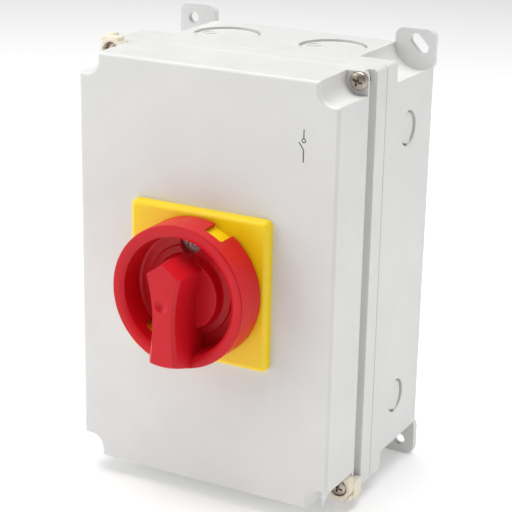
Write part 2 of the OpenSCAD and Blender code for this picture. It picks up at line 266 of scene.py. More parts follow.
def add_block(low, high, name="block"):
    """A box between two corners."""
    clear_selection()
    middle = [(a + b) / 2 for a, b in zip(low, high)]
    spread = [b - a for a, b in zip(low, high)]
    bpy.ops.mesh.primitive_cube_add(
        size=1, location=(middle[0], -middle[1], middle[2]), scale=spread)
    return named(settle(bpy.context.object), name)


TURNS = {"X": (0, math.pi / 2, 0), "Y": (math.pi / 2, 0, 0), "Z": (0, 0, 0)}


def add_rod(centre, radius, length, axis="Y", sides=64, name="rod"):
    """A cylinder about a line along X, Y or Z, with its middle at centre."""
    clear_selection()
    bpy.ops.mesh.primitive_cylinder_add(
        vertices=sides, radius=radius, depth=length, rotation=TURNS[axis],
        location=(centre[0], -centre[1], centre[2]))
    return named(settle(bpy.context.object), name)


def add_pin(x, z, radius, back, front, sides=64, name="pin"):
    """A cylinder along Y between two distances from the wall."""
    return add_rod((x, (back + front) / 2, z), radius, front - back, "Y", sides, name)


def turned_about_y(piece, angle, centre=(0, 0)):
    """Turns a piece clockwise, as seen from the front, about a line along Y."""
    pivot = Vector((centre[0], 0, centre[1]))
    turn = Matrix.Translation(pivot) @ Matrix.Rotation(angle, 4, "Y") @ Matrix.Translation(-pivot)
    piece.matrix_world = turn @ piece.matrix_world
    return settle(piece)


def combine(piece, other, operation):
    pick(piece)
    bpy.ops.object.modifier_add(type="BOOLEAN")
    modifier = piece.modifiers[-1]
    modifier.operation = operation
    modifier.solver = "EXACT"
    modifier.object = other
    bpy.ops.object.modifier_apply(modifier=modifier.name)
    bpy.data.objects.remove(other)
    return piece


def cut(piece, *cutters):
    for cutter in cutters:
        combine(piece, cutter, "DIFFERENCE")
    return piece


def weld(piece, *others):
    for other in others:
        combine(piece, other, "UNION")
    return piece


def copied(piece, name="copy"):
    pick(piece)
    bpy.ops.object.duplicate(linked=False)
    return named(bpy.context.object, name)


def mirrored(piece, x=1, z=1):
    """A copy of a piece mirrored across the middle, facing outwards."""
    copy = copied(piece)
    copy.scale = (x, 1, z)
    settle(copy)
    with editing(copy, "FACE"):
        bpy.ops.mesh.select_all(action="SELECT")
        bpy.ops.mesh.normals_make_consistent(inside=False)
    return copy


def at_corners(piece):
    """Four copies of a piece, one at each corner. The original is used up."""
    copies = [mirrored(piece, x, z) for x in (-1, 1) for z in (-1, 1)]
    bpy.data.objects.remove(piece)
    return copies


def along_y(a, b):
    return abs(a.x - b.x) < NEAR and abs(a.z - b.z) < NEAR


def at_front(distance):
    """Picks edges that lie in the plane at a distance from the wall."""
    return lambda a, b: abs(a.y + distance) < NEAR and abs(b.y + distance) < NEAR


def round_edges(piece, radius, segments, wanted):
    with editing(piece, "EDGE") as shape:
        for edge in shape.edges:
            a, b = (v.co for v in edge.verts)
            if wanted(a, b):
                edge.select_set(True)
        bpy.ops.mesh.bevel(
            offset=radius, segments=segments, profile=0.5, affect="EDGES", clamp_overlap=True)
    return piece


def soften(piece, radius, segments=2, sharpness=35):
    """Rounds every edge that is sharper than an angle."""
    with editing(piece, "EDGE"):
        bpy.ops.mesh.edges_select_sharp(sharpness=math.radians(sharpness))
        bpy.ops.mesh.bevel(
            offset=radius, segments=segments, profile=0.5, affect="EDGES", clamp_overlap=True)
    return piece


def add_turned(profile, sides, closed=False, name="turned"):
    """A solid of revolution about Y from points of radius and distance from the wall."""
    clear_selection()
    radius, distance = profile[0]
    bpy.ops.mesh.primitive_circle_add(
        vertices=sides, radius=radius, rotation=TURNS["Y"], location=(0, -distance, 0))
    piece = named(settle(bpy.context.object), name)
    with editing(piece, "EDGE"):
        bpy.ops.mesh.select_all(action="SELECT")
        for next_radius, next_distance in profile[1:]:
            bpy.ops.mesh.extrude_region_move(
                TRANSFORM_OT_translate={"value": (0, distance - next_distance, 0)})
            grow = next_radius / radius
            bpy.ops.transform.resize(
                value=(grow, 1, grow), center_override=(0, -next_distance, 0))
            radius, distance = next_radius, next_distance
        bpy.ops.mesh.select_all(action="DESELECT")
        bpy.ops.mesh.select_non_manifold(
            extend=False, use_wire=False, use_boundary=True, use_multi_face=False,
            use_non_contiguous=False, use_verts=False)
        if closed:
            bpy.ops.mesh.bridge_edge_loops()
        else:
            bpy.ops.mesh.fill_holes(sides=0)
        bpy.ops.mesh.select_all(action="SELECT")
        bpy.ops.mesh.normals_make_consistent(inside=False)
    return piece


def add_loft(sections, name="loft"):
    """A solid through outlines of equal length, each given as a distance and its X and Z points."""
    clear_selection()
    distance, outline = sections[0]
    bpy.ops.mesh.primitive_circle_add(
        vertices=len(outline), radius=1, fill_type="NGON", rotation=TURNS["Y"])
    piece = named(settle(bpy.context.object), name)
    ring = list(piece.data.polygons[0].vertices)
    for index, (x, z) in zip(ring, outline):
        piece.data.vertices[index].co = (x, -distance, z)
    with editing(piece, "FACE") as shape:
        bpy.ops.mesh.select_all(action="SELECT")
        for next_distance, next_outline in sections[1:]:
            bpy.ops.mesh.extrude_region_move(
                TRANSFORM_OT_translate={"value": (0, distance - next_distance, 0)})
            for vertex in [v for v in shape.verts if v.select]:
                place = (vertex.co.x, vertex.co.z)
                nearest = min(range(len(outline)), key=lambda i: math.dist(place, outline[i]))
                vertex.co.x, vertex.co.z = next_outline[nearest]
            bmesh.update_edit_mesh(piece.data)
            distance, outline = next_distance, next_outline
        bpy.ops.mesh.select_all(action="SELECT")
        bpy.ops.mesh.normals_make_consistent(inside=False)
    return piece


def join(pieces, name):
    clear_selection()
    for piece in pieces:
        piece.select_set(True)
    bpy.context.view_layer.objects.active = pieces[0]
    bpy.ops.object.join()
    return named(bpy.context.object, name)


def finish_piece(piece, name, material, body, slot, *nodes, smooth=32):
    """Cleans a piece, shades it, gives it its finish and hangs it on its body."""
    named(piece, name)
    with editing(piece, "FACE"):
        bpy.ops.mesh.select_all(action="SELECT")
        bpy.ops.mesh.remove_doubles(threshold=0.002 * MM)
        bpy.ops.mesh.dissolve_degenerate(threshold=0.002 * MM)
    pick(piece)
    bpy.ops.object.shade_smooth_by_angle(angle=math.radians(smooth))
    bpy.ops.object.modifier_add(type="WEIGHTED_NORMAL")
    piece.modifiers[-1].keep_sharp = True
    bpy.ops.object.modifier_apply(modifier=piece.modifiers[-1].name)
    piece.data.materials.clear()
    piece.data.materials.append(material)
    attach(piece, body)
    if nodes:
        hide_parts(*nodes)
    return piece


# Finishes

def new_finish(name, colour, roughness, **sockets):
    """A Principled finish with its uniform numbers set on the shader's own sockets."""
    material = bpy.data.materials.new(name)
    material.use_nodes = True
    shader = material.node_tree.nodes["Principled BSDF"]
    shader.inputs["Base Color"].default_value = (*colour, 1)
    shader.inputs["Roughness"].default_value = roughness
    for socket, value in sockets.items():
        shader.inputs[socket.replace("_", " ")].default_value = value
    return material


def noise(material, scale, detail=2.0, stretch=(1, 1, 1)):
    """A noise over the piece in object coordinates."""
    tree = material.node_tree
    place = tree.nodes.new("ShaderNodeTexCoord")
    mapping = tree.nodes.new("ShaderNodeMapping")
    mapping.inputs["Scale"].default_value = stretch
    texture = tree.nodes.new("ShaderNodeTexNoise")
    texture.inputs["Scale"].default_value = scale
    texture.inputs["Detail"].default_value = detail
    tree.links.new(place.outputs["Object"], mapping.inputs["Vector"])
    tree.links.new(mapping.outputs["Vector"], texture.inputs["Vector"])
    return texture.outputs["Fac"]


def vary_colour(material, source, dark, light):
    """Lets the colour drift between two shades."""
    tree = material.node_tree
    shader = tree.nodes["Principled BSDF"]
    colour = shader.inputs["Base Color"].default_value[:3]
    ramp = tree.nodes.new("ShaderNodeValToRGB")
    ramp.color_ramp.elements[0].position = 0.3
    ramp.color_ramp.elements[1].position = 0.7
    ramp.color_ramp.elements[0].color = (*[c * dark for c in colour], 1)
    ramp.color_ramp.elements[1].color = (*[min(c * light, 1) for c in colour], 1)
    tree.links.new(source, ramp.inputs["Fac"])
    tree.links.new(ramp.outputs["Color"], shader.inputs["Base Color"])


def vary_roughness(material, source, low, high):
    tree = material.node_tree
    spread = tree.nodes.new("ShaderNodeMapRange")
    spread.inputs["From Min"].default_value = 0.3
    spread.inputs["From Max"].default_value = 0.7
    spread.inputs["To Min"].default_value = low
    spread.inputs["To Max"].default_value = high
    tree.links.new(source, spread.inputs["Value"])
    tree.links.new(spread.outputs["Result"], tree.nodes["Principled BSDF"].inputs["Roughness"])


def add_bumps(material, *layers):
    """Stacks bumps, each a source with its depth in metres and its strength."""
    tree = material.node_tree
    below = None
    for source, depth, strength in layers:
        bump = tree.nodes.new("ShaderNodeBump")
        bump.inputs["Distance"].default_value = depth
        bump.inputs["Strength"].default_value = strength
        tree.links.new(source, bump.inputs["Height"])
        if below:
            tree.links.new(below, bump.inputs["Normal"])
        below = bump.outputs["Normal"]
    tree.links.new(below, tree.nodes["Principled BSDF"].inputs["Normal"])


def moulded_plastic(name, colour, roughness, grain=0.5, **sockets):
    """Moulded plastic: a fine spark-eroded grain, slow shrinkage ripples and a slight drift in shade."""
    material = new_finish(name, colour, roughness, **sockets)
    vary_colour(material, noise(material, 45, 3), 0.975, 1.02)
    vary_roughness(material, noise(material, 260, 4), roughness - 0.05, roughness + 0.06)
    add_bumps(
        material,
        (noise(material, 30, 1), 0.25 * MM, 0.12),
        (noise(material, 3600, 2), 0.02 * MM, grain))
    return material


def plated_metal(name, colour, roughness, brushed=(1, 1, 1)):
    """Plated or drawn metal with fine lines and a cloudy shade."""
    material = new_finish(name, colour, roughness, Metallic=1.0)
    lines = noise(material, 1500, 5, brushed)
    vary_colour(material, noise(material, 220, 4), 0.82, 1.08)
    vary_roughness(material, lines, roughness - 0.1, roughness + 0.12)
    add_bumps(material, (lines, 0.02 * MM, 0.35))
    return material


def soft_rubber(name, colour):
    material = new_finish(name, colour, 0.75)
    vary_colour(material, noise(material, 120, 3), 0.8, 1.3)
    vary_roughness(material, noise(material, 700, 3), 0.66, 0.85)
    add_bumps(material, (noise(material, 2600, 3), 0.03 * MM, 0.6))
    return material


def printed_ink(name, colour):
    material = new_finish(name, colour, 0.55)
    vary_colour(material, noise(material, 1800, 3), 0.85, 1.25)
    vary_roughness(material, noise(material, 900, 2), 0.48, 0.62)
    add_bumps(material, (noise(material, 2400, 2), 0.01 * MM, 0.3))
    return material


def all_finishes(colours):
    """One finish for each material slot of the record, and the ink."""
    return {
        "grey_polycarbonate": moulded_plastic("Grey polycarbonate", colours.housing, 0.44),
        "yellow_plastic": moulded_plastic("Yellow plate plastic", colours.plate, 0.36, 0.35),
        "red_plastic": moulded_plastic(
            "Red handle plastic", colours.handle, 0.38, 0.35, Specular_IOR_Level=0.28),
        "cream_nylon": moulded_plastic(
            "Natural nylon", colours.nylon, 0.42, 0.3, Subsurface_Weight=0.15,
            Subsurface_Scale=1.5 * MM),
        "white_plastic": moulded_plastic("White ring plastic", (0.78, 0.78, 0.76), 0.45, 0.3),
        "black_plastic": moulded_plastic("Black glass-filled nylon", (0.018, 0.018, 0.02), 0.5, 0.9),
        "slate_plastic": moulded_plastic("Slate thermoset", (0.035, 0.038, 0.044), 0.42, 0.6),
        "orange_plastic": moulded_plastic("Orange latch nylon", (0.75, 0.12, 0.01), 0.4, 0.4),
        "black_rubber": soft_rubber("Seal rubber", (0.012, 0.012, 0.012)),
        "screw_steel": plated_metal("Lid screw plating", (0.50, 0.44, 0.38), 0.38),
        "zinc_steel": plated_metal("Bright zinc plating", (0.62, 0.63, 0.64), 0.32, (0.15, 1, 1)),
        "spring_steel": plated_metal("Spring steel", (0.30, 0.30, 0.31), 0.3, (0.1, 1, 1)),
        "brass": plated_metal("Turned brass", (0.72, 0.50, 0.20), 0.28),
        "copper": plated_metal("Contact copper", (0.72, 0.34, 0.20), 0.3, (0.2, 1, 1)),
        "ink": printed_ink("Printed ink", colours.ink),
    }


FINISHES = {}


# Pieces

def seal_path(inset):
    """A solid inside the seal's line, which runs inside the lid screws."""
    size = bpy.context.scene.isolator_enclosure
    corner, depth, reach = 9.8 * MM + inset, 1.2 * MM, 3 * MM
    path = add_block(
        (inset - SHELL_W, BASE_D - depth, inset - SHELL_H),
        (SHELL_W - inset, BASE_D + MM, SHELL_H - inset))
    for x in (-size.lug_x, size.lug_x):
        for z in (-size.lug_z, size.lug_z):
            cut(path, add_pin(x, z, corner, BASE_D - reach, BASE_D + reach))
    return path


def knockout_cutters(place, axis, radius, pip):
    """Cutters for one knock-out: a round recess and a deeper ring that two webs interrupt."""
    ring_w, recess, deep, web = 1.1 * MM, 0.8 * MM, 2.4 * MM, 3.2 * MM
    slant = math.radians(20)
    face = add_rod(place, radius, 2 * recess, axis, 96)
    ring = add_rod(place, radius, 2 * deep, axis, 96)
    cut(ring, add_rod(place, radius - ring_w, 3 * deep, axis, 96))
    across = 2 * radius + 4 * MM
    spread = {"X": (3 * deep, web, across), "Z": (across, web, 3 * deep)}[axis]
    bar = add_block([-s / 2 for s in spread], [s / 2 for s in spread])
    bar.rotation_euler = (slant, 0, 0) if axis == "X" else (0, 0, slant)
    bar.location = (place[0], -place[1], place[2])
    cut(ring, settle(bar))
    if pip:
        pip_r, pip_in, offset = 3.2 * MM, 2.4 * MM, 9 * MM
        spot = (place[0] - offset, place[1], place[2])
        raised = add_rod(spot, pip_r, 4 * recess, axis, 48)
        cut(raised, add_rod(spot, pip_in, 5 * recess, axis, 48))
        cut(face, raised)
        weld(face, add_rod(spot, pip_r + 0.2 * MM, recess, axis, 48))
    return face, ring


def cut_knockouts(shell):
    """Two knock-outs on each side of the box and two larger ones on each end."""
    middle = 24.8 * MM
    side_r, side_z = 7.6 * MM, 60 * MM
    end_r, end_x = 14.5 * MM, 25.3 * MM
    for side in (-1, 1):
        for z in (-side_z, side_z):
            cut(shell, *knockout_cutters((side * SHELL_W, middle, z), "X", side_r, False))
        for x in (-end_x, end_x):
            cut(shell, *knockout_cutters((x, middle, side * SHELL_H), "Z", end_r, True))


def lug():
    """The upper right lug plate without its hole. Its inner corner lies behind the scoop."""
    inner_x, inner_z = 43.7 * MM, 79.7 * MM
    plate = add_block((inner_x, 0, inner_z), (BASE_HIGH.x, LUG_T, BASE_HIGH.z))
    round_edges(
        plate, 4 * MM, 6,
        lambda a, b: along_y(a, b) and (a.x > inner_x + MM or a.z > inner_z + MM))
    return round_edges(plate, 0.5 * MM, 2, at_front(LUG_T))


def lug_hole(x, z, slotted):
    """Cutter for one wall screw: a round hole, or a slot at 45 degrees."""
    radius, reach = 2.6 * MM, 2.4 * MM
    back, front = -MM, LUG_T + MM
    if not slotted:
        return add_pin(x, z, radius, back, front, 48)
    hole = add_block((x - reach - radius, back, z - radius), (x + reach + radius, front, z + radius))
    round_edges(hole, radius * 0.999, 10, along_y)
    return turned_about_y(hole, math.radians(45), (x, z))


class ISOLATOR_OT_base_housing(bpy.types.Operator):
    """Build the wall box with its lugs, driver scoops and knock-outs"""
    bl_idname = "isolator.base_housing"
    bl_label = "Base Housing"

    def execute(self, context):
        size = context.scene.isolator_enclosure
        shell = add_block((-SHELL_W, 0, -SHELL_H), (SHELL_W, BASE_D, SHELL_H))
        round_edges(shell, size.edge_radius, 5, along_y)
        round_edges(shell, 0.4 * MM, 2, at_front(BASE_D))
        round_edges(shell, 0.6 * MM, 2, at_front(0))
        scoop_front = 38.5 * MM
        scoop = add_pin(size.lug_x, size.lug_z, size.scoop_radius, LUG_T / 2, scoop_front, 128)
        round_edges(scoop, 1.2 * MM, 3, at_front(scoop_front))
        cut(shell, *at_corners(scoop))
        weld(shell, *at_corners(lug()))
        for x in (-1, 1):
            for z in (-1, 1):
                cut(shell, lug_hole(x * size.lug_x, z * size.lug_z, x == z))
        cut_knockouts(shell)
        cavity = add_block(
            (size.wall - SHELL_W, size.wall, size.wall - SHELL_H),
            (SHELL_W - size.wall, BASE_D + MM, SHELL_H - size.wall))
        column_r = size.scoop_radius + size.wall
        column = add_pin(size.lug_x, size.lug_z, column_r, 0, BASE_D + 2 * MM, 128)
        cut(cavity, *at_corners(column))
        boss_r, boss_front = 4.5 * MM, 8 * MM
        for x in (-RAIL_SCREW_X, RAIL_SCREW_X):
            cut(cavity, add_pin(x, 0, boss_r, 0, boss_front, 48))
        cut(shell, cavity)
        seal_outside, seal_inside = 0.8 * MM, 2.2 * MM
        cut(shell, cut(seal_path(seal_outside), seal_path(seal_inside)))
        insert_r, insert_back = 2.7 * MM, 41.5 * MM
        cut(shell, *at_corners(
            add_pin(size.screw_x, size.screw_z, insert_r, insert_back, BASE_D + MM, 48)))
        for x in (-RAIL_SCREW_X, RAIL_SCREW_X):
            cut(shell, add_pin(x, 0, 2 * MM, size.wall, boss_front + MM, 32))
        finish_piece(
            shell, "wall_box", FINISHES["grey_polycarbonate"], "base", "grey_polycarbonate",
            "base_housing")
        return {"FINISHED"}


def corner_block(size, back, front, inset):
    """A block over the upper right corner with the pockets' rounded inner edge."""
    x, z = PANEL_W - size.pocket - inset, SHELL_H - size.pocket - inset
    beyond = 30 * MM
    block = add_block((x, back, z), (x + beyond, front, z + beyond))
    return round_edges(
        block, size.pocket_radius, 10,
        lambda a, b: along_y(a, b) and abs(a.x - x) < NEAR and abs(a.z - z) < NEAR)


def pocket_cutter(size, floor, inset=0.0):
    """Cutter for the upper right corner pocket."""
    return corner_block(size, floor, FRONT_D + 5 * MM, inset)


class ISOLATOR_OT_lid_housing(bpy.types.Operator):
    """Build the lid with its corner pockets, rim and side grooves"""
    bl_idname = "isolator.lid_housing"
    bl_label = "Lid Housing"

    def execute(self, context):
        size = context.scene.isolator_enclosure
        rim_front, groove_front, groove_x = 58.1 * MM, 62.8 * MM, 57 * MM
        outside_x, outside_z = 70 * MM, 95 * MM
        panel = add_block((-PANEL_W, LID_D, -SHELL_H), (PANEL_W, FRONT_D, SHELL_H))
        round_edges(panel, size.edge_radius, 5, along_y)
        lean = (1 - size.draft / PANEL_W, 1, 1 - size.draft / SHELL_H)
        with editing(panel, "VERT") as shape:
            for vertex in shape.verts:
                vertex.select_set(abs(vertex.co.y + FRONT_D) < NEAR)
            bpy.ops.transform.resize(value=lean, center_override=(0, -FRONT_D, 0))
        cut(panel, *at_corners(pocket_cutter(size, size.pocket_floor)))
        round_edges(panel, size.front_radius, 5, at_front(FRONT_D))
        rim = add_block((-SHELL_W, LID_D, -SHELL_H), (SHELL_W, rim_front, SHELL_H))
        round_edges(rim, size.edge_radius, 5, along_y)
        round_edges(rim, 0.4 * MM, 2, at_front(rim_front))
        round_edges(rim, 0.3 * MM, 2, at_front(LID_D))
        weld(panel, rim)
        groove = add_block((groove_x, rim_front, -outside_z), (outside_x, groove_front, outside_z))
        cut(panel, mirrored(groove, x=-1), groove)
        top, width, groove_wall = SHELL_H - size.wall, PANEL_W - size.wall, 2.2 * MM
        cavity = add_block((-width, groove_front + 2 * MM, -top), (width, FRONT_D - size.wall, top))
        neck = width - groove_wall
        weld(cavity, add_block((-neck, LID_D - MM, -top), (neck, groove_front + 3 * MM, top)))
        cut(cavity, *at_corners(pocket_cutter(size, LID_D - 2 * MM, size.wall)))
        cut(panel, cavity)
        slot = add_block((58.7 * MM, 58 * MM, 84.3 * MM), (outside_x, 65.4 * MM, outside_z))
        cut(panel, mirrored(slot, x=-1), mirrored(slot, z=-1))
        bpy.data.objects.remove(slot)
        cut(panel, *at_corners(add_pin(
            size.screw_x, size.screw_z, 2.2 * MM, LID_D - MM, size.pocket_floor + MM, 48)))
        cut(panel, add_pin(0, 0, 13.2 * MM, FRONT_D - 4 * MM, FRONT_D + MM, 96))
        edge_z = size.pocket - SHELL_H + 0.5 * MM
        tag = [(56.6 * MM, edge_z), (59.2 * MM, edge_z), (58.2 * MM, -84 * MM), (57.3 * MM, -86.7 * MM)]
        weld(panel, add_loft([(FRONT_D - 1.9 * MM, tag), (FRONT_D - 0.7 * MM, tag)]))
        finish_piece(
            panel, "lid_cover", FINISHES["grey_polycarbonate"], "lid", "grey_polycarbonate",
            "lid_housing")
        return {"FINISHED"}


class ISOLATOR_OT_front_plate(bpy.types.Operator):
    """Build the square front plate with its padlock collar"""
    bl_idname = "isolator.front_plate"
    bl_label = "Front Plate"

    def execute(self, context):
        handle = context.scene.isolator_handle
        face, corner_r, edge_r = RING_BACK, 2.5 * MM, 2.3 * MM
        collar_in, collar_out, boss_r = 26.6 * MM, 27.8 * MM, 13 * MM
        plate = add_block((-PLATE_W, FRONT_D, -PLATE_W), (PLATE_W, face, PLATE_W))
        round_edges(plate, corner_r, 6, along_y)
        round_edges(plate, edge_r, 6, at_front(face))
        collar = add_turned(
            [(collar_in, face - MM), (collar_out, face - MM), (collar_out, COLLAR_D),
             (collar_in, COLLAR_D)], handle.sides, closed=True)
        soften(collar, 0.25 * MM)
        weld(plate, collar, add_pin(0, 0, boss_r, -PLATE_HIGH.y, face, 96))
        cut(plate, add_pin(0, 0, HUB_BORE_R, -PLATE_HIGH.y - MM, COLLAR_D, 96))
        opening = handle.opening_angle - math.pi / 2
        cut(plate, *shackle_cutters(handle, opening, face, COLLAR_D + MM, 23 * MM))
        finish_piece(
            plate, "yellow_plate", FINISHES["yellow_plastic"], "lid", "yellow_plastic", "front_plate")
        return {"FINISHED"}


def shackle_cutters(size, angle, back, front, inner):
    """Cutters for the two padlock openings, the first one clockwise from the top by an angle."""
    cutters = []
    half = size.shackle / 2
    for turn in (angle, angle + size.second_opening):
        block = add_block((-half, back, inner), (half, front, inner + 14 * MM))
        round_edges(
            block, MM, 4,
            lambda a, b: abs(a.z - b.z) > MM and min(-a.y, -b.y) > front - NEAR)
        cutters.append(turned_about_y(block, turn))
    return cutters


def add_word(word, x, z, height, distance, name="word"):
    """A raised word that faces forwards."""
    clear_selection()
    bpy.ops.object.text_add()
    text = bpy.context.object
    text.data.body = word
    text.data.align_x = "CENTER"
    text.data.align_y = "CENTER"
    text.data.size = height
    text.data.extrude = MARK_T
    bpy.ops.object.convert(target="MESH")
    piece = bpy.context.object
    piece.rotation_euler = (math.pi / 2, 0, 0)
    piece.location = (x, -distance, z)
    return named(settle(piece), name)


class ISOLATOR_OT_indicator(bpy.types.Operator):
    """Build the white ring behind the handle's window, with its two marks"""
    bl_idname = "isolator.indicator"
    bl_label = "Indicator Ring"

    def execute(self, context):
        hole_r, outer_r = 12 * MM, 25.4 * MM
        ring = add_turned(
            [(hole_r, RING_BACK), (outer_r, RING_BACK), (outer_r, RING_FRONT),
             (hole_r, RING_FRONT)], 128, closed=True)
        soften(ring, 0.3 * MM)
        finish_piece(
            ring, "marked_ring", FINISHES["white_plastic"], "lid", "white_plastic", "indicator_ring")
        window = context.scene.isolator_handle.window_height - 1.8 * MM
        marks = [
            add_word("I ON", 1.0 * MM, window, 3.8 * MM, RING_FRONT),
            add_word("O OFF", -window, 0, 3.2 * MM, RING_FRONT),
        ]
        finish_piece(join(marks, "ring_marks"), "ring_marks", FINISHES["ink"], "lid", "white_plastic")
        return {"FINISHED"}


def grip_outline(apex, shoulder, waist, foot, foot_r):
    """Outline of the grip in millimetres: pointed top, waist and a wider foot that ends in an arc."""
    steps = 6
    right = [(0, apex)]
    for start, end, away in ((shoulder, waist, 1), (waist, foot, 0)):
        spread = max(start[0], end[0]) - waist[0]
        for step in range(steps):
            share = step / steps
            bulge = spread * (1 - share if away else share) ** 2
            right.append((waist[0] + bulge, start[1] + (end[1] - start[1]) * share))
    right.append(foot)
    end_angle = math.asin(foot[0] / foot_r)
    for step in range(5):
        angle = end_angle * (1 - step / 4)
        right.append((foot_r * math.sin(angle), -foot_r * math.cos(angle)))
    left = [(-x, z) for x, z in reversed(right[1:-1])]
    return [(x * MM, z * MM) for x, z in right + left]


class ISOLATOR_OT_handle(bpy.types.Operator):
    """Build the red handle: cup, grip, window, padlock openings and hub"""
    bl_idname = "isolator.handle"
    bl_label = "Handle"

    def execute(self, context):
        size = context.scene.isolator_handle
        inner, floor, rim = size.inner_radius, size.floor, size.rim
        floor_back, channel, skirt = floor - 2 * MM, 105.1 * MM, 93.3 * MM
        opening_front = 103 * MM
        profile = [
            (HUB_R, HUB_D), (HUB_R, floor_back), (inner + 1.4 * MM, floor_back),
            (inner + 1.4 * MM, channel), (SKIRT_IN_R, channel), (SKIRT_IN_R, skirt),
            (CUP_R - 0.2 * MM, skirt), (CUP_R, skirt + 0.2 * MM), (CUP_R, rim - 0.85 * MM),
            (CUP_R - 0.35 * MM, rim - 0.8 * MM), (CUP_R - 0.35 * MM, rim - 0.5 * MM),
            (CUP_R - 0.1 * MM, rim - 0.45 * MM), (CUP_R - 0.2 * MM, rim - 0.12 * MM),
            (CUP_R - 0.5 * MM, rim), (inner + 1.9 * MM, rim), (inner + 0.2 * MM, rim - 0.95 * MM),
            (inner, rim - 1.3 * MM), (inner - 0.5 * MM, floor + 1.3 * MM),
            (inner - 0.8 * MM, floor + 0.5 * MM), (inner - 1.4 * MM, floor + 0.1 * MM),
            (inner - 2.0 * MM, floor), (19.4 * MM, floor), (18.9 * MM, floor + 0.7 * MM),
            (16.2 * MM, floor + 1.2 * MM), (15.8 * MM, floor + 1.6 * MM),
            (15.1 * MM, floor + 4.7 * MM), (14.9 * MM, floor + 5.1 * MM),
            (14.4 * MM, floor + 5.3 * MM), (6 * MM, floor + 5.3 * MM),
        ]
        cup = add_turned(profile, size.sides)
        sections = [
            (floor - MM, grip_outline(17.2, (8.6, 11.3), (5.5, -6.8), (7.4, -23.4), 29.5)),
            (rim, grip_outline(17.3, (8.3, 11.5), (5.3, -6.8), (7.2, -23.4), 29.5)),
            (GRIP_D - 1.7 * MM, grip_outline(17.3, (8.0, 11.6), (5.2, -6.8), (6.6, -23.4), 26.6)),
            (GRIP_D, grip_outline(17.2, (6.9, 12.1), (4.1, -6.8), (4.9, -23.4), 25.6)),
        ]
        grip = add_loft(sections)
        cut(grip, add_turned(
            [(inner + 1.3 * MM, skirt - 3.3 * MM), (SKIRT_IN_R + 0.1 * MM, skirt - 3.3 * MM),
             (SKIRT_IN_R + 0.1 * MM, channel), (inner + 1.3 * MM, channel)],
            size.sides, closed=True))
        weld(cup, grip)
        cut(cup, *shackle_cutters(size, size.opening_angle, skirt - MM, opening_front, 23.4 * MM))
        window_front = floor + 5.8 * MM
        cut(cup, add_pin(0, size.window_height, size.window, floor_back - MM, window_front, 64))
        socket = add_pin(0, 0, 7.25 * MM, HUB_D - MM, floor_back + MM, 6)
        cut(cup, turned_about_y(socket, math.radians(30)))
        clip_groove = (78.2 * MM, 79.3 * MM, 8.9 * MM)
        seal_groove = (85.2 * MM, 86.8 * MM, 8.4 * MM)
        outside = HUB_R + MM
        for low, high, radius in (clip_groove, seal_groove):
            cut(cup, add_turned(
                [(radius, low), (outside, low), (outside, high), (radius, high)], 96, closed=True))
        ball_r, ball_front = 5 * MM, GRIP_D + 3.9 * MM
        clear_selection()
        bpy.ops.mesh.primitive_uv_sphere_add(
            segments=48, ring_count=24, radius=ball_r, location=(0, -ball_front, 0))
        cut(cup, settle(bpy.context.object))
        finish_piece(
            cup, "red_handle", FINISHES["red_plastic"], "handle_body", "red_plastic", "handle")
        return {"FINISHED"}


# The two corners with a retainer, and how far each lifts its screw's head
RETAINED = {(1, -1): 3.4 * MM, (-1, 1): 1.6 * MM}


def pan_head_screw(x, z, seat, length):
    """A pan-head screw with a cross recess, its head standing on a seat."""
    head_r, shank_r, height = 3.75 * MM, 2 * MM, 2.4 * MM
    dome = [
        (head_r * math.cos(a), seat + 1.1 * MM + (height - 1.1 * MM) * math.sin(a))
        for a in (math.radians(d) for d in (0, 15, 30, 45, 60, 75))]
    profile = [(1.2 * MM, seat - length), (shank_r, seat - length + 0.8 * MM), (shank_r, seat),
               (head_r - 0.2 * MM, seat), (head_r, seat + 0.2 * MM)] + dome
    screw = add_turned(profile, 64)
    for turn in (math.radians(20), math.radians(110)):
        arm = add_block((-2.2 * MM, seat + 0.9 * MM, -0.42 * MM), (2.2 * MM, seat + 4 * MM, 0.42 * MM))
        round_edges(arm, 0.5 * MM, 2, lambda a, b: abs(a.y - b.y) > MM)
        cut(screw, turned_about_y(arm, turn))
    core = add_turned(
        [(0.3 * MM, seat + 0.2 * MM), (1.25 * MM, seat + 4 * MM)], 24)
    cut(screw, core)
    screw.location = (x, 0, z)
    return settle(screw)


class ISOLATOR_OT_lid_screws(bpy.types.Operator):
    """Build the four lid screws with their cross recesses"""
    bl_idname = "isolator.lid_screws"
    bl_label = "Lid Screws"

    def execute(self, context):
        size = context.scene.isolator_enclosure
        length = 22 * MM
        screws = []
        for x in (-1, 1):
            for z in (-1, 1):
                seat = size.pocket_floor + RETAINED.get((x, z), 0)
                screws.append(pan_head_screw(x * size.screw_x, z * size.screw_z, seat, length))
        finish_piece(
            join(screws, "cover_screws"), "cover_screws", FINISHES["screw_steel"], "lid",
            "screw_steel", "lid_screws")
        return {"FINISHED"}


